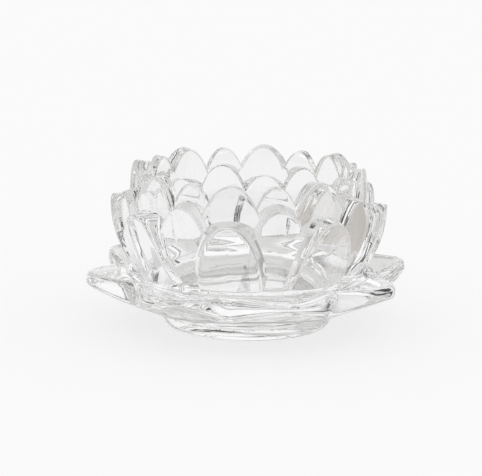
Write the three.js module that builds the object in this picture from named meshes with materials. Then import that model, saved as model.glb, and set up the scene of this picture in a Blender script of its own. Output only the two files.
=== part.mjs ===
// Lotus candle holder in clear glass: four rings of upright petals round a candle cup, on a petalled saucer
// Millimetres, +Z up, origin at the centre of the foot's underside
import * as THREE from "three";
import { mergeVertices } from "three/addons/utils/BufferGeometryUtils.js";

// Pattern and joints
const petalCount = 8; // petals in every ring
const bondLine = 0.3; // clear adhesive between two bonded faces

// Foot
const footRadius = 30.2; // widest part of the underside
const footSpread = 2.4; // how far the foot widens up to the plate
const footHeight = 4.4;
const footRounding = 1.2; // lower outside edge
const footRimWidth = 8; // flat ring that stands on the table
const footRecess = 1.5; // depth of the hollow inside that ring

// Saucer
const plateTop = 19.8; // height of the plate's upper face
const plateLedge = 1; // plate left free outside the outer petals
const saucerWeb = 4.2; // solid band between the plate and the notches
const saucerPetalLength = 12.5; // from the notches to the tips
const saucerTipBreadth = 7; // blunt end of a saucer petal
const saucerTipUnder = 17.1; // height of the tips' lower edge
const saucerTipThickness = 4.2;
const saucerRim = 3; // raised border of a saucer petal
const saucerDish = 0.8; // hollow inside that border
const saucerEdge = 1.5; // softened edges of a saucer petal

// Bowl profile, shared by the cup and the rings of petals
const cupRootRadius = 28.6; // outside of the cup where it stands on the plate
const bowlFlare = 8.6; // how far the bowl opens from its root to its belly
const bowlFullness = 2.5; // the higher, the rounder the bowl's side
const bellyHeight = 47.5; // where the bowl is widest
const bowlIncurve = 0.9; // how far the tallest tips lean back in

// Candle cup
const cupSeat = 3.9; // how deep the cup sits in the plate
const cupWall = 1.6;
const cupFloor = 2.8; // thickness of the floor under the candle
const cupFillet = 3; // inside corner between floor and wall
const cupRim = 49.6; // height of the cup's edge, below the gaps between the tips

// Inner petals
const innerThickness = 2.6;
const innerTip = 57.6;
const innerSide = 7.5; // from the root up to where the arch begins
const innerGap = 6; // between neighbours
const innerFree = 6.5; // free end above the third petals' flanks
const innerLean = 1.5; // how far that end leans out between them

// Third petals
const thirdThickness = 2.8;
const thirdTip = 58.5;
const thirdSide = 8.4;
const thirdGap = 3.8;
const thirdFree = 5.6; // free end above the inner petals' flanks
const thirdHeel = 2.4; // how much thicker that end grows towards the inside

// Second petals
const secondThickness = 3;
const secondTip = 51.7;
const secondSide = 3;
const secondGap = 5.4;

// Outer petals
const outerThickness = 3.8;
const outerTip = 46;
const outerSide = 11;
const outerGap = 12.4;

// Rims of the upright petals
const slimRim = 1.8; // inner, third and second petals
const slimEdge = 1; // rounding of that rim
const broadRim = 2.8; // outer petals
const broadEdge = 1.7;
const panelDrop = 0.5; // hollow inside the rim

// Fineness of the facets
const turnSteps = 6 * petalCount; // round the foot, plate and cup
const wallSteps = 7; // up the cup's wall
const facetRise = 6.5; // up a petal's straight side
const archSteps = 7; // from there to its tip
const saucerSteps = 5; // from a notch to a saucer tip
const spineReach = 0.75; // where a petal's centre crease ends, as a share of its height

// Places that follow from the sizes above
const pitch = (2 * Math.PI) / petalCount;
const petalRoot = plateTop + bondLine;
const cupRoot = petalRoot - cupSeat;
const plateUnder = footHeight + bondLine;
const footShoulder = footRadius + footSpread;
const tallestTip = Math.max(innerTip, thirdTip, secondTip, outerTip);

// The rings of upright petals from the cup outwards, each bonded to the one inside it
const rings = [
  {
    name: "inner_petal",
    thickness: innerThickness,
    tip: innerTip,
    side: innerSide,
    gap: innerGap,
    heel: none,
    rim: slimRim,
    edge: slimEdge,
    lean: innerEndLean,
    turn: 0,
  },
  {
    name: "third_petal",
    thickness: thirdThickness,
    tip: thirdTip,
    side: thirdSide,
    gap: thirdGap,
    heel: thirdEndHeel,
    rim: slimRim,
    edge: slimEdge,
    lean: none,
    turn: 0.5,
  },
  {
    name: "second_petal",
    thickness: secondThickness,
    tip: secondTip,
    side: secondSide,
    gap: secondGap,
    heel: none,
    rim: slimRim,
    edge: slimEdge,
    lean: none,
    turn: 0,
  },
  {
    name: "outer_petal",
    thickness: outerThickness,
    tip: outerTip,
    side: outerSide,
    gap: outerGap,
    heel: none,
    rim: broadRim,
    edge: broadEdge,
    lean: none,
    turn: 0.5,
  },
];
let stack = 0;
for (const ring of rings) {
  ring.inside = stack + bondLine;
  ring.outside = ring.inside + ring.thickness;
  ring.middle = ring.inside + ring.thickness / 2;
  stack = ring.outside;
}
const plateRadius = cupRootRadius + stack + plateLedge;
const saucerRoot = plateRadius + bondLine;
const saucerNotch = saucerRoot + saucerWeb;
const saucerTip = saucerNotch + saucerPetalLength;

const clearGlass = {
  color: 0xf2f5f5,
  roughness: 0.05,
  metalness: 0,
  transparent: true,
  opacity: 0.4,
};

function glassPiece(name, geometry) {
  const mesh = new THREE.Mesh(geometry, new THREE.MeshStandardMaterial(clearGlass));
  mesh.name = name;
  return mesh;
}

// Shared vertices joined, and the empty triangles that this leaves taken out
function closedSkin(geometry) {
  geometry.deleteAttribute("normal");
  geometry.deleteAttribute("uv");
  const skin = mergeVertices(geometry);
  const corners = skin.index.array;
  const kept = [];
  for (let i = 0; i < corners.length; i += 3) {
    const [a, b, c] = corners.slice(i, i + 3);
    if (a !== b && b !== c && c !== a) kept.push(a, b, c);
  }
  skin.setIndex(kept);
  skin.computeVertexNormals();
  return skin;
}

// Solid of revolution from a profile of [radius, height] points that starts and ends on the axis
function turned(profile) {
  const points = profile.map(([radius, height]) => new THREE.Vector2(radius, height));
  return closedSkin(new THREE.LatheGeometry(points, turnSteps).rotateX(Math.PI / 2));
}

// Outside of the bowl at a height: flaring from the root, widest at the belly, then slightly in again
function bowlRadius(height) {
  if (height > bellyHeight) {
    const above = (height - bellyHeight) / (tallestTip - bellyHeight);
    return cupRootRadius + bowlFlare - bowlIncurve * above ** 2;
  }
  const below = (bellyHeight - height) / (bellyHeight - petalRoot);
  return cupRootRadius + bowlFlare * (1 - below ** bowlFullness);
}

// The free ends of the inner petals lean out between the third petals
function innerEndLean(height) {
  const up = Math.max(0, height - innerTip + innerFree) / innerFree;
  return innerLean * up ** 2;
}

// The free ends of the third petals are thicker towards the inside, level with the inner petals
function thirdEndHeel(height) {
  const up = (height - thirdTip + thirdFree) / (thirdFree / 2);
  return thirdHeel * Math.min(1, Math.max(0, up));
}

function none() {
  return 0;
}

// Underside of the saucer, one cone from the foot's shoulder to the tips
function saucerUnder(radius) {
  const out = (radius - footShoulder) / (saucerTip - footShoulder);
  return plateUnder + (saucerTipUnder - plateUnder) * out;
}

// Crest of a saucer petal's border, level with the plate at the root and rising to the tip
function saucerCrest(radius) {
  const out = (radius - saucerRoot) / (saucerTip - saucerRoot);
  return plateTop + (saucerTipUnder + saucerTipThickness - plateTop) * out;
}

function footSolid() {
  const recessRadius = footRadius - footRimWidth;
  const cornerCut = footRounding * (1 - Math.SQRT1_2);
  return turned([
    [0, footRecess],
    [recessRadius - footRecess, footRecess],
    [recessRadius, 0],
    [footRadius - footRounding, 0],
    [footRadius - cornerCut, cornerCut],
    [footRadius, footRounding],
    [footShoulder, footHeight],
    [0, footHeight],
  ]);
}

function plateSolid() {
  return turned([
    [0, plateUnder],
    [footShoulder, plateUnder],
    [plateRadius, saucerUnder(plateRadius)],
    [plateRadius, plateTop],
    [cupRootRadius + bondLine, plateTop],
    [cupRootRadius + bondLine, plateTop - cupSeat],
    [0, plateTop - cupSeat],
  ]);
}

function cupSolid() {
  const floor = cupRoot + cupFloor;
  const lip = cupWall / 2;
  const wallTop = cupRim - lip;
  const outside = [];
  const inside = [];
  for (let i = 0; i <= wallSteps; i++) {
    const outsideHeight = petalRoot + ((wallTop - petalRoot) * i) / wallSteps;
    outside.push([bowlRadius(outsideHeight), outsideHeight]);
    const insideHeight = wallTop - ((wallTop - floor - cupFillet) * i) / wallSteps;
    inside.push([bowlRadius(insideHeight) - cupWall, insideHeight]);
  }
  const filletFoot = bowlRadius(floor + cupFillet) - cupWall - cupFillet;
  const filletCut = cupFillet * (1 - Math.SQRT1_2);
  return turned([
    [0, cupRoot],
    [cupRootRadius, cupRoot],
    ...outside,
    [bowlRadius(cupRim) - lip, cupRim],
    ...inside,
    [filletFoot + cupFillet - filletCut, floor + filletCut],
    [filletFoot, floor],
    [0, floor],
  ]);
}

// Half an outline, from a root corner to the tip, mirrored into a whole one with its outward directions
function wholeOutline(half) {
  const mirrored = half.slice(0, -1).reverse().map(([x, y]) => [-x, y]);
  const points = [...half, ...mirrored];
  const last = points.length - 1;
  return points.map(([x, y], j) => {
    if (j === 0 || j === last) return { x, y, out: new THREE.Vector2(Math.sign(x), 0) };
    const [x0, y0] = points[j - 1];
    const [x1, y1] = points[j + 1];
    return { x, y, out: new THREE.Vector2(y0 - y1, x1 - x0).normalize() };
  });
}

// Outline of an upright petal: sides that keep the gap to the neighbours, under an elliptic arch
function uprightOutline(ring) {
  const shoulder = petalRoot + ring.side;
  const halfWidth = (height) => ((bowlRadius(height) + ring.middle) * pitch) / 2 - ring.gap / 2;
  const sideSteps = Math.ceil(ring.side / facetRise);
  const half = [];
  for (let i = 0; i < sideSteps; i++) {
    const height = petalRoot + (ring.side * i) / sideSteps;
    half.push([-halfWidth(height), height]);
  }
  for (let i = 0; i <= archSteps; i++) {
    const angle = (Math.PI / 2) * (i / archSteps);
    const height = shoulder + (ring.tip - shoulder) * Math.sin(angle);
    half.push([-halfWidth(shoulder) * Math.cos(angle), height]);
  }
  return wholeOutline(half);
}

// Outline of a saucer petal: flanks along the neighbours to the notch, then drawn in to a blunt tip
function saucerOutline() {
  const halfWidth = (radius) => (radius * pitch - bondLine) / 2;
  const notch = new THREE.Vector2(-halfWidth(saucerNotch), saucerNotch);
  const tipCorner = new THREE.Vector2(-saucerTipBreadth / 2, saucerTip);
  const midFlank = notch.clone().lerp(tipCorner, 0.5);
  const tip = new THREE.Vector2(0, saucerTip);
  const toTip = new THREE.CubicBezierCurve(notch, midFlank, tipCorner, tip);
  const flank = [-halfWidth(saucerRoot), saucerRoot];
  return wholeOutline([flank, ...toTip.getPoints(saucerSteps).map((point) => point.toArray())]);
}

// Closed skin over an outline: loops from the upper face's centre crease out over the rim and its softened
// edges, round the side, and in to the crease of the lower face
function petalSkin({ outline, rim, edge, drop, upper, lower, place }) {
  const root = outline[0].y;
  const loops = [
    { inset: rim, fold: 1, level: (y) => upper(y) - drop },
    { inset: rim, fold: 0.5, level: (y) => upper(y) - drop },
    { inset: rim, fold: 0, level: (y) => upper(y) - drop },
    { inset: edge, fold: 0, level: upper },
    { inset: 0, fold: 0, level: (y) => upper(y) - edge },
    { inset: 0, fold: 0, level: (y) => lower(y) + edge },
    { inset: edge, fold: 0, level: lower },
    { inset: edge, fold: 0.5, level: lower },
    { inset: edge, fold: 1, level: lower },
  ];
  const rootFaces = [
    [0, 1, 7, 8],
    [1, 2, 6, 7],
    [2, 3, 6],
    [3, 4, 5, 6],
  ];
  const positions = [];
  for (const { inset, fold, level } of loops) {
    for (const { x, y, out } of outline) {
      const insetY = y - inset * out.y;
      const creaseY = root + (insetY - root) * spineReach;
      const foldedX = (x - inset * out.x) * (1 - fold);
      const foldedY = insetY + (creaseY - insetY) * fold;
      positions.push(...place(foldedX, foldedY, level(foldedY)));
    }
  }
  const index = [];
  const fan = ([first, ...rest]) => {
    for (let i = 0; i + 1 < rest.length; i++) index.push(first, rest[i], rest[i + 1]);
  };
  const row = outline.length;
  for (let i = 0; i + 1 < loops.length; i++) {
    for (let j = 0; j + 1 < row; j++) {
      const a = i * row + j;
      fan([a, a + 1, a + row + 1, a + row]);
    }
  }
  // The root face, between the ends of the upper loops and those of the lower ones
  for (const face of rootFaces) {
    fan(face.map((i) => i * row));
    fan(face.map((i) => i * row + row - 1).reverse());
  }
  const geometry = new THREE.BufferGeometry();
  geometry.setAttribute("position", new THREE.Float32BufferAttribute(positions, 3));
  geometry.setIndex(index);
  return closedSkin(geometry);
}

// Point at an angle from the -Y direction
function aroundAxis(radius, angle, height) {
  return [radius * Math.sin(angle), -radius * Math.cos(angle), height];
}

function uprightPetal(ring) {
  return petalSkin({
    outline: uprightOutline(ring),
    rim: ring.rim,
    edge: ring.edge,
    drop: panelDrop,
    upper: () => ring.outside,
    lower: (height) => ring.inside - ring.heel(height),
    place: (x, height, offset) => {
      const radius = bowlRadius(height) + ring.lean(height);
      return aroundAxis(radius + offset, x / (radius + ring.middle), height);
    },
  });
}

function saucerPetal() {
  return petalSkin({
    outline: saucerOutline(),
    rim: saucerRim,
    edge: saucerEdge,
    drop: saucerDish,
    upper: saucerCrest,
    lower: saucerUnder,
    // Seen from above, the outline runs the other way round
    place: (x, radius, height) => aroundAxis(radius, -x / radius, height),
  });
}

// One petal repeated round the axis, each copy a piece of its own
function petalRing(name, makePetal, turn) {
  const ring = new THREE.Group();
  for (let k = 0; k < petalCount; k++) {
    const petal = glassPiece(`${name}_${k + 1}`, makePetal());
    petal.rotation.z = (k + turn) * pitch;
    ring.add(petal);
  }
  return ring;
}

const saucer = new THREE.Group();
saucer.add(glassPiece("foot", footSolid()));
saucer.add(glassPiece("saucer_plate", plateSolid()));
saucer.add(petalRing("saucer_petal", saucerPetal, 0));

const bowl = new THREE.Group();
bowl.add(glassPiece("candle_cup", cupSolid()));
for (const ring of rings) bowl.add(petalRing(ring.name, () => uprightPetal(ring), ring.turn));

const candleHolder = new THREE.Group();
candleHolder.add(saucer, bowl);

export default candleHolder;
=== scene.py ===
import bisect
import bmesh
import bpy
import math
from mathutils import Matrix, Vector


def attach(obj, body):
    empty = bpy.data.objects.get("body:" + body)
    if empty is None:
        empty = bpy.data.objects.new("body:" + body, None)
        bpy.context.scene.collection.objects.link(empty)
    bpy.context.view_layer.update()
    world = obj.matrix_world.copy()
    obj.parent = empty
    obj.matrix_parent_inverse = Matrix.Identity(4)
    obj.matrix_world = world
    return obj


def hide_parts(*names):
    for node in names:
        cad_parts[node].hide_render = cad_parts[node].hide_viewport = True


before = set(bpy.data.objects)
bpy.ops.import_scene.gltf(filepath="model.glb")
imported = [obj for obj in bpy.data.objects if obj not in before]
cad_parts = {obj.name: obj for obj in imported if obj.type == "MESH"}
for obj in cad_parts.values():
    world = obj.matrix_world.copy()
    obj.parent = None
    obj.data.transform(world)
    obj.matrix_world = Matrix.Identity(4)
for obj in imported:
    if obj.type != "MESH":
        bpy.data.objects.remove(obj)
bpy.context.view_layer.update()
print("frame loaded:", len(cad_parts), "nodes")

mm = 0.001  # shapes are worked in millimetres and brought to metres at the end
seam = 0.001  # points of a turned blank that are closer than this are one
petalCount = 8
pitch = 2 * math.pi / petalCount


def meshObject(name, bm):
    mesh = bpy.data.meshes.new(name)
    bm.to_mesh(mesh)
    bm.free()
    obj = bpy.data.objects.new(name, mesh)
    bpy.context.scene.collection.objects.link(obj)
    return obj


def roundTheAxis(bm, turn):
    # eight copies of a shape, the first one turned by a share of the pitch
    one = bpy.data.meshes.new("sector")
    bm.to_mesh(one)
    bm.free()
    ring = bmesh.new()
    for i in range(petalCount):
        one.transform(Matrix.Rotation(pitch * (turn if i == 0 else 1), 4, "Z"))
        ring.from_mesh(one)
    bpy.data.meshes.remove(one)
    return ring


def turnedBlank(section, around):
    # a section of radius and height pairs, spun through one sector and repeated
    bm = bmesh.new()
    verts = [bm.verts.new((0.0, -r, z)) for r, z in section]
    edges = [bm.edges.new(pair) for pair in zip(verts, verts[1:])]
    bmesh.ops.spin(bm, geom=verts + edges, cent=(0, 0, 0), axis=(0, 0, 1), angle=pitch,
                   steps=around // petalCount)
    bm = roundTheAxis(bm, 0)
    bmesh.ops.remove_doubles(bm, verts=list(bm.verts), dist=seam)
    return bm


def outFromAxis(radius, angle, z):
    return Vector((radius * math.sin(angle), -radius * math.cos(angle), z))


def arc(cx, cz, rx, rz, start, end, steps):
    # points of a rounding in a section, angles in quarter turns, first point left out
    points = []
    for i in range(1, steps + 1):
        a = math.pi / 2 * (start + (end - start) * i / steps)
        points.append((cx + rx * math.cos(a), cz + rz * math.sin(a)))
    return points


def line(r0, z0, r1, z1, steps):
    return [(r0 + (r1 - r0) * i / steps, z0 + (z1 - z0) * i / steps) for i in range(1, steps + 1)]


def soften(t):
    t = min(1.0, max(0.0, t))
    return t * t * (3 - 2 * t)


def pressed(obj, other, operation):
    # the glass of two solids run together, or one cut by the other
    step = obj.modifiers.new("press", "BOOLEAN")
    step.operation = operation
    step.object = other
    step.solver = "MANIFOLD"
    shaped = obj.evaluated_get(bpy.context.evaluated_depsgraph_get())
    mesh = bpy.data.meshes.new_from_object(shaped)
    obj.modifiers.clear()
    obj.data = mesh


# bowl profile that the cup and all four rings of petals follow
bowl = {
    "rootHeight": 20.1,
    "rootRadius": 28.6,
    "flare": 8.6,
    "fullness": 2.5,
    "belly": 47.5,
    "incurve": 0.9,
    "rimSpan": 11.0,
}


def bowlRadius(z):
    drop = bowl["belly"] - z
    widest = bowl["rootRadius"] + bowl["flare"]
    if drop <= 0:
        return widest - bowl["incurve"] * (drop / bowl["rimSpan"]) ** 2
    share = drop / (bowl["belly"] - bowl["rootHeight"])
    return widest - bowl["flare"] * share ** bowl["fullness"]


# upright petals from the cup outwards: heights, breadth, faces measured from the bowl profile and the
# slope of the edges
petals = {
    "inner": {
        "front": 2.9, "tip": 57.6, "shoulder": 27.6, "halfWidth": 11.1, "edge": 0.9, "crown": 0.4,
        "sideDraft": -0.1, "tipDraft": -0.1, "lean": 1.5, "turn": 0.0, "back": 0.7, "root": 15.0,
    },
    "third": {
        "front": 6.0, "tip": 58.45, "shoulder": 28.5, "halfWidth": 13.7, "edge": 0.8, "crown": 0.35,
        "sideDraft": -0.1, "tipDraft": -0.1, "lean": 0.0, "turn": 0.5, "back": 0.85, "root": 14.6,
    },
    "second": {
        "front": 9.3, "tip": 50.2, "shoulder": 23.1, "halfWidth": 12.4, "edge": 0.7, "crown": 0.3,
        "sideDraft": 0.5, "tipDraft": 0.26, "lean": 0.0, "turn": 0.0, "back": 1.0, "root": 16.2,
    },
    "outer": {
        "front": 13.4, "tip": 45.6, "shoulder": 22.5, "halfWidth": 12.0, "edge": 0.7, "crown": 1.0,
        "sideDraft": 1.0, "tipDraft": 0.1, "lean": 0.0, "turn": 0.5, "back": 1.15, "root": 16.8,
    },
}
petalMesh = {
    "around": 96,
    "rootSteps": 8,
    "flankSteps": 30,
    "archSteps": 90,
    "edgeSteps": 4,
    "panelSteps": 9,
    "sideSteps": 4,
    "spineReach": 0.75,
    "leanSpan": 6.5,
    "draftFrom": 15.0,
    "draftSpan": 15.0,
    "weld": 0.004,
}


def petalRadius(petal, z):
    up = max(0.0, z - petal["tip"] + petalMesh["leanSpan"]) / petalMesh["leanSpan"]
    return bowlRadius(z) + petal["lean"] * up ** 2


def petalOutline(petal):
    # half an outline from the middle of the root to the tip, evenly spaced, with its outward directions
    root, shoulder, wide = petal["root"], petal["shoulder"], petal["halfWidth"]
    dense = [(0.0, root)] + line(0.0, root, wide, root, petalMesh["rootSteps"])
    dense += line(wide, root, wide, shoulder, petalMesh["flankSteps"])
    dense += arc(0.0, shoulder, wide, petal["tip"] - shoulder, 0, 1, petalMesh["archSteps"])
    lengths = [0.0]
    for (x0, z0), (x1, z1) in zip(dense, dense[1:]):
        lengths.append(lengths[-1] + math.hypot(x1 - x0, z1 - z0))
    steps = petalMesh["around"] // 2
    points = []
    for i in range(steps + 1):
        want = lengths[-1] * i / steps
        j = min(len(dense) - 2, max(0, bisect.bisect_right(lengths, want) - 1))
        f = (want - lengths[j]) / (lengths[j + 1] - lengths[j])
        (x0, z0), (x1, z1) = dense[j], dense[j + 1]
        points.append((x0 + (x1 - x0) * f, z0 + (z1 - z0) * f))
    mirrored = [(-points[1][0], points[1][1])] + points + [(-points[-2][0], points[-2][1])]
    outward = []
    for (x0, z0), (x1, z1) in zip(mirrored, mirrored[2:]):
        n = math.hypot(x1 - x0, z1 - z0)
        outward.append(((z1 - z0) / n, (x0 - x1) / n))
    return points, outward


def petalLoops(petal):
    # inset, fold towards the spine and dip under the face of each loop, from the edge to the middle
    e, steps = petal["edge"], petalMesh["panelSteps"]
    loops = [(0.0, 0.0, e)]
    loops += [(e - e * c, 0.0, e - e * s) for c, s in arc(0, 0, 1, 1, 0, 1, petalMesh["edgeSteps"])]
    loops += [(e, i / steps, 0.0) for i in range(1, steps + 1)]
    return loops


def petalRing(name, petal):
    points, outward = petalOutline(petal)
    loops = petalLoops(petal)
    around, last = petalMesh["around"], len(loops)
    # a round button with rings on both faces, which is then pressed into a petal
    bm = bmesh.new()
    bmesh.ops.create_circle(bm, cap_ends=True, segments=around, radius=1.0)
    core = bm.faces[:][0]
    for i in range(last - 1):
        bmesh.ops.inset_individual(bm, faces=[core], thickness=math.cos(math.pi / around) / last,
                                   use_even_offset=True)
    made = bmesh.ops.extrude_face_region(bm, geom=list(bm.faces), use_keep_orig=True)
    back = [g for g in made["geom"] if isinstance(g, bmesh.types.BMVert)]
    bmesh.ops.translate(bm, verts=back, vec=(0, 0, -1))
    sides = [e for e in bm.edges if round(e.verts[0].co.z) != round(e.verts[1].co.z)]
    bmesh.ops.subdivide_edges(bm, edges=sides, cuts=petalMesh["sideSteps"], use_grid_fill=True)
    cores = [f for f in bm.faces if len(f.verts) == around]
    bmesh.ops.delete(bm, geom=cores, context="FACES_ONLY")
    for v in bm.verts:
        loop = min(last - 1, max(0, round((1 - math.hypot(v.co.x, v.co.y)) * last)))
        phi = math.atan2(v.co.x, -v.co.y)
        step = round(abs(phi) / math.pi * around / 2)
        inset, fold, dip = loops[loop]
        across = (points[step][0] - outward[step][0] * inset) * (1 - fold) / petal["halfWidth"]
        face = petal["front"] - petal["crown"] * across ** 2
        n = face - dip
        n += (petal["back"] - n) * -v.co.z
        behind = max(0.0, face - petal["edge"] - n) if v.co.z < 0 else 0.0
        flare = soften((points[step][1] - petalMesh["draftFrom"]) / petalMesh["draftSpan"])
        x = points[step][0] + outward[step][0] * (petal["sideDraft"] * behind * flare - inset)
        z = points[step][1] + outward[step][1] * (petal["tipDraft"] * behind - inset)
        spine = petal["root"] + (z - petal["root"]) * petalMesh["spineReach"]
        x, z = x * (1 - fold), z + (spine - z) * fold
        radius = petalRadius(petal, z)
        v.co = outFromAxis(radius + n, math.copysign(x, phi) / (radius + petal["front"]), z)
    bmesh.ops.remove_doubles(bm, verts=list(bm.verts), dist=petalMesh["weld"])
    bmesh.ops.recalc_face_normals(bm, faces=list(bm.faces))
    return meshObject(name, roundTheAxis(bm, petal["turn"]))


# cup: the smooth wall behind the petals, its lip scalloped to follow the tips
cup = {
    "insideLow": -0.5,
    "insideHigh": -0.25,
    "insideTurn": 2.0,
    "outside": 1.7,
    "floor": 19.0,
    "fillet": 3.0,
    "under": 14.0,
    "lip": 0.7,
    "belowInner": 0.1,
    "belowThird": 0.4,
    "scallopFrom": 36.0,
    "blankTop": 58.5,
    "around": 480,
    "floorSteps": 10,
    "filletSteps": 8,
    "wallSteps": 48,
    "lipSteps": 6,
    "outsideSteps": 28,
}


def archTable(petal, shrink):
    # height of a petal's arch against the angle from its middle, the outline drawn in by an even amount
    points, outward = petalOutline(petal)
    table = []
    for (x, z), (ox, oz) in zip(points, outward):
        x, z = x - ox * shrink, z - oz * shrink
        if z > petal["shoulder"]:
            table.append((x / (petalRadius(petal, z) + petal["front"]), z))
    return sorted(table)


def archHeight(table, petal, angle):
    a = abs((angle / pitch - petal["turn"] + 0.5) % 1.0 - 0.5) * pitch
    i = min(len(table) - 1, max(1, bisect.bisect_left(table, (a,))))
    (a0, z0), (a1, z1) = table[i - 1], table[i]
    return z0 + (z1 - z0) * (a - a0) / (a1 - a0)


def cupInside(z):
    up = (z - cup["floor"]) / (cup["blankTop"] - cup["floor"])
    rise = cup["insideHigh"] - cup["insideLow"]
    return bowlRadius(z) + cup["insideLow"] + rise * up ** cup["insideTurn"]


def candleCup():
    floor, fillet, lip, top = cup["floor"], cup["fillet"], cup["lip"], cup["blankTop"]
    wallFoot = cupInside(floor + fillet)
    section = [(0.0, floor)] + line(0.0, floor, wallFoot - fillet, floor, cup["floorSteps"])
    section += arc(wallFoot - fillet, floor + fillet, fillet, fillet, -1, 0, cup["filletSteps"])
    section += [(cupInside(z), z) for r, z in line(0, floor + fillet, 0, top - lip, cup["wallSteps"])]
    rimInside, rimOutside = cupInside(top), bowlRadius(top) + cup["outside"]
    section += arc(rimInside + lip, top - lip, lip, lip, 2, 1, cup["lipSteps"])
    section += [(rimOutside, top)]
    outside = line(0, top, 0, cup["under"], cup["outsideSteps"])
    section += [(bowlRadius(z) + cup["outside"], z) for r, z in outside]
    section += [(0.0, cup["under"])]
    bm = turnedBlank(section, cup["around"])
    inner, third = petals["inner"], petals["third"]
    innerArch, thirdArch = archTable(inner, cup["belowInner"]), archTable(third, cup["belowThird"])
    low = cup["scallopFrom"]
    for v in bm.verts:
        if v.co.z > low:
            angle, radius = math.atan2(v.co.x, -v.co.y), math.hypot(v.co.x, v.co.y)
            reach = max(archHeight(innerArch, inner, angle), archHeight(thirdArch, third, angle))
            z = low + (v.co.z - low) * (reach - low) / (top - low)
            v.co = outFromAxis(radius - bowlRadius(v.co.z) + bowlRadius(z), angle, z)
    bmesh.ops.recalc_face_normals(bm, faces=list(bm.faces))
    return meshObject("cup", bm)


# base: the low foot and the saucer with its eight blunt star petals
base = {
    "footRadius": 30.2,
    "footShoulder": 32.6,
    "footTop": 4.7,
    "footRounding": 1.2,
    "footRim": 8.0,
    "footRecess": 1.5,
    "plateTop": 19.8,
    "wellFloor": 16.0,
    "root": 43.3,
    "notch": 47.5,
    "tip": 60.5,
    "tipBreadth": 7.0,
    "tipUnder": 17.1,
    "tipThickness": 4.2,
    "rim": 3.0,
    "dish": 0.8,
    "fillet": 1.8,
    "filletFrom": 42.0,
    "filletReach": 4.5,
    "edge": 2.2,
    "edgeFullness": 0.85,
    "soften": 0.06,
    "softenSteps": 5,
    "starFrom": 40.0,
    "dishFade": 3.0,
    "wellPlay": 0.5,
    "rowBias": 1.6,
    "around": 480,
    "tableSteps": 200,
    "lowRows": 16,
    "edgeRows": 10,
    "topRows": 22,
    "flatSteps": 8,
    "rimSteps": 4,
    "roundingSteps": 5,
    "flankSteps": 6,
    "wellSteps": 2,
}


def saucerUnder(radius):
    out = (radius - base["footShoulder"]) / (base["tip"] - base["footShoulder"])
    return base["footTop"] + (base["tipUnder"] - base["footTop"]) * out


def saucerCrest(radius):
    out = max(0.0, (radius - base["root"]) / (base["tip"] - base["root"]))
    return base["plateTop"] + (base["tipUnder"] + base["tipThickness"] - base["plateTop"]) * out


def starTable():
    # radius of the star against the angle from a petal's middle: a flank drawn in from notch to blunt tip
    halfNotch, halfTip = base["notch"] * pitch / 2, base["tipBreadth"] / 2
    midway = ((halfNotch + halfTip) / 2, (base["notch"] + base["tip"]) / 2)
    bends = [(halfNotch, base["notch"]), midway, (halfTip, base["tip"]), (0.0, base["tip"])]
    table = []
    for i in range(base["tableSteps"] + 1):
        t = i / base["tableSteps"]
        weights = ((1 - t) ** 3, 3 * t * (1 - t) ** 2, 3 * t * t * (1 - t), t ** 3)
        x = sum(w * b[0] for w, b in zip(weights, bends))
        r = sum(w * b[1] for w, b in zip(weights, bends))
        table.append((x / r, r))
    return sorted(table)


def starRadius(table, angle):
    # the mean over a short arc, which rounds the notches
    total, spread = 0.0, base["softenSteps"]
    for k in range(-spread, spread + 1):
        turned = angle + base["soften"] * k / spread
        a = abs((turned / pitch + 0.5) % 1.0 - 0.5) * pitch
        i = min(len(table) - 1, max(1, bisect.bisect_left(table, (a,))))
        (a0, r0), (a1, r1) = table[i - 1], table[i]
        total += r0 + (r1 - r0) * (a - a0) / (a1 - a0)
    return total / (2 * spread + 1)


def starPoint(row, reach):
    # radius and height of a row of the star's skin: underside, round the edge, then back over the top
    e, start = base["edge"], base["starFrom"]
    low, edge, top = base["lowRows"], base["edgeRows"], base["topRows"]
    brink = reach - e
    if row <= low:
        radius = brink - (brink - start) * (1 - row / low) ** base["rowBias"]
        return radius, saucerUnder(radius)
    if row <= low + edge:
        a = math.pi * (row - low) / edge
        under, over = saucerUnder(brink), saucerCrest(brink)
        lift = math.copysign(abs(math.cos(a)) ** base["edgeFullness"], math.cos(a))
        return brink + e * math.sin(a), (under + over) / 2 - (over - under) / 2 * lift
    inward = (brink - start) * ((row - low - edge) / (top + 1)) ** base["rowBias"]
    radius = brink - inward
    dish = base["dish"] * soften(inward / base["rim"]) * soften((radius - start) / base["dishFade"])
    return radius, saucerCrest(radius) - dish + bedLift(radius)


def bedLift(radius):
    # the plate runs up to the outer petals in a fillet
    near = 1 - (radius - base["filletFrom"]) / base["filletReach"]
    return base["fillet"] * min(1.0, max(0.0, near)) ** 2


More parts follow.
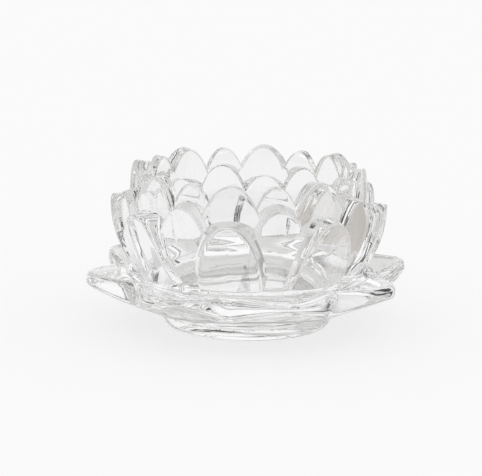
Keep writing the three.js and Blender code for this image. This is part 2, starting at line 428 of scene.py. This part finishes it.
def footAndSaucer():
    b = base
    hollow, rounding, recess = b["footRadius"] - b["footRim"], b["footRounding"], b["footRecess"]
    section = [(0.0, recess)] + line(0.0, recess, hollow - recess, recess, b["flatSteps"])
    section += line(hollow - recess, recess, hollow, 0.0, b["wellSteps"])
    section += line(hollow, 0.0, b["footRadius"] - rounding, 0.0, b["rimSteps"])
    section += arc(b["footRadius"] - rounding, rounding, rounding, rounding, -1, 0, b["roundingSteps"])
    section += line(b["footRadius"], rounding, b["footShoulder"], b["footTop"], b["flankSteps"])
    start = b["starFrom"]
    section += line(b["footShoulder"], b["footTop"], start, saucerUnder(start), b["flatSteps"])
    # rows of the star are only numbered here, above a mark, and placed below
    rows, mark = b["lowRows"] + b["edgeRows"] + b["topRows"], 100.0
    section += [(start, mark + i) for i in range(1, rows + 1)]
    well, bed = bowlRadius(b["plateTop"]) + b["wellPlay"], b["plateTop"] + b["fillet"]
    section += line(start, bed, well, bed, b["flankSteps"])
    section += line(well, bed, well, b["wellFloor"], b["wellSteps"])
    section += line(well, b["wellFloor"], 0.0, b["wellFloor"], b["flankSteps"])
    bm = turnedBlank(section, b["around"])
    table = starTable()
    for v in bm.verts:
        if v.co.z > mark:
            angle = math.atan2(v.co.x, -v.co.y)
            radius, z = starPoint(round(v.co.z - mark), starRadius(table, angle))
            v.co = outFromAxis(radius, angle, z)
    bmesh.ops.recalc_face_normals(bm, faces=list(bm.faces))
    return meshObject("base", bm)


class Wire:
    # a shader socket that can be multiplied and subtracted, with one method for every other node
    def __init__(self, tree, socket=None):
        self.tree, self.socket = tree, socket

    def node(self, kind, settings, inputs, output=0):
        made = self.tree.nodes.new(kind)
        for key, value in settings.items():
            setattr(made, key, value)
        for key, value in inputs.items():
            if isinstance(value, Wire):
                self.tree.links.new(value.socket, made.inputs[key])
            else:
                made.inputs[key].default_value = value
        return Wire(self.tree, made.outputs[output]) if made.outputs else made

    def math(self, operation, a, b=0.0):
        return self.node("ShaderNodeMath", {"operation": operation}, {0: a, 1: b})

    def __mul__(self, other):
        return self.math("MULTIPLY", self, other)

    __rmul__ = __mul__

    def __sub__(self, other):
        return self.math("SUBTRACT", self, other)

    def __rsub__(self, other):
        return self.math("SUBTRACT", other, self)


def ease(value, start, end):
    return value.node("ShaderNodeMapRange", {"interpolation_type": "SMOOTHSTEP"},
                      {"Value": value, "From Min": start, "From Max": end})


def blend(mask, a, b):
    return mask.node("ShaderNodeMix", {"data_type": "RGBA"}, {0: mask, 6: a, 7: b}, 2)


def facing(direction, towards):
    return direction.node("ShaderNodeVectorMath", {"operation": "DOT_PRODUCT"},
                          {0: direction, 1: towards}, "Value")


def seenInGlass(w):
    # rays that the glass has mirrored or let through
    glossy = w.node("ShaderNodeLightPath", {}, {}, "Is Glossy Ray")
    passing = w.node("ShaderNodeLightPath", {}, {}, "Is Transmission Ray")
    return w.math("MAXIMUM", glossy, passing)


def newMaterial(name):
    mat = bpy.data.materials.new(name)
    mat.use_nodes = True
    mat.node_tree.nodes.clear()
    return mat, Wire(mat.node_tree)


# clear pressed glass: a faint waviness from the mould and hardly any haze
glass = {
    "ior": 1.52,
    "tint": (0.985, 0.99, 0.988, 1),
    "paleTint": (1.0, 1.0, 1.0, 1),
    "waveScale": 140.0,
    "waveDepth": 0.00005,
    "waveStrength": 0.9,
    "waveDetail": 1.5,
    "cloudScale": 60.0,
    "cloudDetail": 2.0,
    "haze": 0.012,
}


def clearGlass():
    mat, w = newMaterial("clear pressed glass")
    place = w.node("ShaderNodeTexCoord", {}, {}, "Object")
    wave = w.node("ShaderNodeTexNoise", {},
                  {"Vector": place, "Scale": glass["waveScale"], "Detail": glass["waveDetail"]})
    cloud = w.node("ShaderNodeTexNoise", {},
                   {"Vector": place, "Scale": glass["cloudScale"], "Detail": glass["cloudDetail"]})
    tint = blend(cloud, glass["tint"], glass["paleTint"])
    bump = w.node("ShaderNodeBump", {},
                  {"Strength": glass["waveStrength"], "Distance": glass["waveDepth"], "Height": wave})
    shader = w.node("ShaderNodeBsdfPrincipled", {}, {
        "Base Color": tint, "Roughness": cloud * glass["haze"], "Normal": bump,
        "IOR": glass["ior"], "Transmission Weight": 1.0})
    w.node("ShaderNodeOutputMaterial", {}, {"Surface": shader})
    return mat


def bondFace():
    # where two masses of the pressing meet inside the glass: no surface at all, so all light passes
    mat, w = newMaterial("run together")
    shader = w.node("ShaderNodeBsdfPrincipled", {}, {"Base Color": (1, 1, 1, 1), "Alpha": 0.0})
    w.node("ShaderNodeOutputMaterial", {}, {"Surface": shader})
    return mat


# one pressing, then parted where the bowl stands on the saucer and the saucer on its foot
parting = {
    "wellRadius": 29.6,
    "wellFlare": 0.4,
    "wellFloor": 16.6,
    "bedRadius": 43.0,
    "bedHeight": 20.1,
    "spread": 55.0,
    "above": 70.0,
    "footPlane": 4.7,
    "around": 480,
    "level": 0.001,
    "play": 0.01,
    "sharp": 32.0,
}


def partingSolid():
    # well, bed and a cone that opens outwards over the saucer
    p = parting
    section = [(0.0, p["wellFloor"]), (p["wellRadius"], p["wellFloor"])]
    section += [(p["wellRadius"] + p["wellFlare"], p["bedHeight"]), (p["bedRadius"], p["bedHeight"])]
    section += [(p["spread"], p["bedHeight"] + p["spread"] - p["bedRadius"])]
    section += [(p["spread"], p["above"]), (0.0, p["above"])]
    bm = turnedBlank(section, p["around"])
    bmesh.ops.recalc_face_normals(bm, faces=list(bm.faces))
    return meshObject("parting", bm)


def onParting(centre):
    r, z, p = math.hypot(centre.x, centre.y), centre.z, parting
    bed = abs(z - p["bedHeight"]) < p["level"] and r < p["bedRadius"] + p["play"]
    well = abs(z - p["wellFloor"]) < p["level"] and r < p["wellRadius"] + p["play"]
    up = (z - p["wellFloor"]) / (p["bedHeight"] - p["wellFloor"])
    side = 0 < up < 1 and abs(r - p["wellRadius"] - p["wellFlare"] * up) < p["play"]
    foot = abs(z - p["footPlane"]) < p["level"] and r < base["footShoulder"] + p["play"]
    return bed or well or side or foot


def finishPiece(obj, nodes, materials):
    mesh = obj.data
    mesh.materials.clear()
    for mat in materials:
        mesh.materials.append(mat)
    bonded = 0
    for face in mesh.polygons:
        face.use_smooth = True
        face.material_index = 1 if onParting(face.center) else 0
        bonded += face.material_index
    mesh.set_sharp_from_angle(angle=math.radians(parting["sharp"]))
    mesh.transform(Matrix.Scale(mm, 4))
    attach(obj, "root")
    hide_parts(*nodes)
    print(obj.name, len(mesh.polygons), "faces,", bonded, "bonded, for", len(nodes), "nodes")


def copyOf(obj, name):
    made = bpy.data.objects.new(name, obj.data.copy())
    bpy.context.scene.collection.objects.link(made)
    return made


whole = footAndSaucer()
parts = [candleCup()] + [petalRing(name, petal) for name, petal in petals.items()]
print("blanks ready")
for part in parts:
    pressed(whole, part, "UNION")
    bpy.data.objects.remove(part)
print("pressed together:", len(whole.data.polygons), "faces")

cutter = partingSolid()
petalBowl = copyOf(whole, "petal_bowl")
pressed(petalBowl, cutter, "INTERSECT")
saucer = copyOf(whole, "star_saucer")
pressed(saucer, cutter, "DIFFERENCE")
bpy.data.objects.remove(cutter)
bpy.data.objects.remove(whole)
bm = bmesh.new()
bmesh.ops.create_cube(bm, size=2 * parting["bedRadius"])
bmesh.ops.translate(bm, verts=list(bm.verts), vec=(0, 0, parting["footPlane"] - parting["bedRadius"]))
cutter = meshObject("parting", bm)
foot = copyOf(saucer, "ring_foot")
pressed(foot, cutter, "INTERSECT")
pressed(saucer, cutter, "DIFFERENCE")
bpy.data.objects.remove(cutter)

materials = [clearGlass(), bondFace()]
names = list(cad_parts)
finishPiece(petalBowl, [n for n in names if n == "candle_cup" or n.split("_")[0] in petals], materials)
finishPiece(saucer, [n for n in names if n.startswith("saucer_")], materials)
finishPiece(foot, ["foot"], materials)

# floor: even white to the camera, but in the glass it shows painted shade: greyer near the foot,
# a painted contact shadow where it bears the foot's rim, and a painted dim side
stage = {
    "size": 3.0,
    "below": 0.0002,
    "seen": 0.956,
    "shadow": 0.25,
    # near: painted shade on the floor close to the foot, seen only in the glass; far: the paler floor
    # beyond
    "near": (0.62, 0.615, 0.61, 1),
    "far": (0.90, 0.90, 0.90, 1),
    "nearShadeReach": 0.05,
    "nearShadeFadeTo": 0.12,
    # ring: a painted contact shadow where the foot's rim bears on the floor
    "ring": (0.32, 0.31, 0.30, 1),
    "shadowRingFrom": 0.0215,
    "shadowRingTo": 0.0295,
    "shadowRingBlur": 0.0015,
    # side: painted shade that dims one side of the floor
    "side": (0.52, 0.49, 0.46, 1),
    "shadedSideTurn": 112.0,
    "shadedSideFrom": 0.78,
    "shadedSideTo": 0.98,
}


def paleFloorPaintedShade():
    mat, w = newMaterial("pale floor")
    place = w.node("ShaderNodeTexCoord", {}, {}, "Object")
    reach = w.node("ShaderNodeVectorMath", {"operation": "LENGTH"}, {0: place}, "Value")
    # painted shade: the floor is greyer near the foot and fades out to the far colour
    out = ease(reach, stage["nearShadeReach"], stage["nearShadeFadeTo"])
    # painted contact shadow in a ring under the foot's rim
    inner = ease(reach, stage["shadowRingFrom"] - stage["shadowRingBlur"], stage["shadowRingFrom"])
    outer = ease(reach, stage["shadowRingTo"], stage["shadowRingTo"] + stage["shadowRingBlur"])
    colour = blend(w.math("MAXIMUM", out, 1 - inner), stage["near"], stage["far"])
    colour = blend(inner * (1 - outer), colour, stage["ring"])
    # painted shade on one side of the floor, away from the foot
    bearing = w.node("ShaderNodeVectorMath", {"operation": "NORMALIZE"}, {0: place})
    shadedSideBearing = outFromAxis(1.0, math.radians(stage["shadedSideTurn"]), 0.0)
    side = ease(facing(bearing, shadedSideBearing), stage["shadedSideFrom"], stage["shadedSideTo"])
    colour = blend(side * out, colour, stage["side"])
    # diffuse rays see the painted shades on a diffuse floor; the glass sees them as an even glow
    lit = w.node("ShaderNodeBsdfDiffuse", {}, {"Color": colour})
    glow = w.node("ShaderNodeEmission", {}, {"Color": colour, "Strength": 1.0})
    lit = w.node("ShaderNodeMixShader", {}, {0: seenInGlass(w), 1: lit, 2: glow})
    white = (stage["seen"],) * 3 + (1,)
    pale = w.node("ShaderNodeBsdfDiffuse", {}, {"Color": white})
    even = w.node("ShaderNodeEmission", {}, {"Color": white, "Strength": 1.0})
    shown = w.node("ShaderNodeMixShader", {}, {0: stage["shadow"], 1: even, 2: pale})
    seen = w.node("ShaderNodeLightPath", {}, {}, "Is Camera Ray")
    shader = w.node("ShaderNodeMixShader", {}, {0: seen, 1: lit, 2: shown})
    w.node("ShaderNodeOutputMaterial", {}, {"Surface": shader})
    return mat


bm = bmesh.new()
bmesh.ops.create_grid(bm, x_segments=1, y_segments=1, size=stage["size"])
bmesh.ops.translate(bm, verts=list(bm.verts), vec=(0, 0, -stage["below"]))
floor = meshObject("floor", bm)
floor.data.materials.append(paleFloorPaintedShade())

# camera, fitted to the photograph's viewing angle
view = {
    "azimuth": -14.32,
    "elevation": 12.58,
    "distance": 811.4,
    "aim": 30.0,
    "lens": 165.94,
    "sensor": 36.0,
    "roll": 0.736,
    "shiftX": -0.01433,
    "shiftY": 0.00528,
    "clipStart": 0.01,
    "clipEnd": 20.0,
}
cam = bpy.data.cameras.new("camera")
cam.lens, cam.sensor_width = view["lens"], view["sensor"]
cam.shift_x, cam.shift_y = view["shiftX"], view["shiftY"]
cam.clip_start, cam.clip_end = view["clipStart"], view["clipEnd"]
camera = bpy.data.objects.new("camera", cam)
bpy.context.scene.collection.objects.link(camera)
turn, rise = math.radians(view["azimuth"]), math.radians(view["elevation"])
toCamera = Vector((math.cos(rise) * math.sin(turn), -math.cos(rise) * math.cos(turn), math.sin(rise)))
aim = Vector((0, 0, view["aim"])) * mm
eye = aim + toCamera * view["distance"] * mm
look = (aim - eye).to_track_quat("-Z", "Y").to_matrix().to_4x4()
camera.matrix_world = Matrix.Translation(eye) @ look @ Matrix.Rotation(math.radians(view["roll"]), 4, "Z")
bpy.context.scene.camera = camera

# light: an even white dome; the glass sees it as softboxes between dark walls, a little paler behind
# the camera
dome = {
    "white": (1.0, 1.0, 1.0, 1),
    "wall": (0.03, 0.029, 0.028, 1),
    "rear": (0.07, 0.065, 0.06, 1),
    "rearFrom": 0.2,
    "rearTo": 0.5,
    "boxes": [  # azimuth, elevation, where it starts and where it is full
        (0.0, 90.0, 0.62, 0.72),
        (166.0, 2.0, 0.80, 0.90),
        (98.0, 22.0, 0.82, 0.88),
        (-118.0, 22.0, 0.84, 0.88),
    ],
}


def softDome():
    world = bpy.data.worlds.new("studio dome")
    bpy.context.scene.world = world
    world.use_nodes = True
    world.node_tree.nodes.clear()
    w = Wire(world.node_tree)
    direction = w.node("ShaderNodeTexCoord", {}, {}, "Generated")
    behindCamera = Vector((toCamera.x, toCamera.y, 0.0)).normalized()
    rear = ease(facing(direction, behindCamera), dome["rearFrom"], dome["rearTo"])
    walls = blend(rear, dome["wall"], dome["rear"])
    bright = 0.0
    for azimuth, elevation, start, end in dome["boxes"]:
        level, height = math.cos(math.radians(elevation)), math.sin(math.radians(elevation))
        towards = outFromAxis(level, math.radians(azimuth), height)
        bright = w.math("MAXIMUM", ease(facing(direction, towards), start, end), bright)
    room = blend(bright, walls, dome["white"])
    fromFloor = w.math("MINIMUM", w.node("ShaderNodeLightPath", {}, {}, "Diffuse Depth"), 1.0)
    colour = blend(seenInGlass(w) * (1 - fromFloor), dome["white"], room)
    back = w.node("ShaderNodeBackground", {}, {"Color": colour, "Strength": 1.0})
    w.node("ShaderNodeOutputWorld", {}, {"Surface": back})


softDome()
print("stage, camera and light ready")
bounces = {"max": 40, "transmission": 40, "glossy": 24, "transparent": 48}
scene = bpy.context.scene
scene.view_settings.view_transform = "Standard"
scene.cycles.max_bounces = bounces["max"]
scene.cycles.transmission_bounces = bounces["transmission"]
scene.cycles.glossy_bounces = bounces["glossy"]
scene.cycles.transparent_max_bounces = bounces["transparent"]
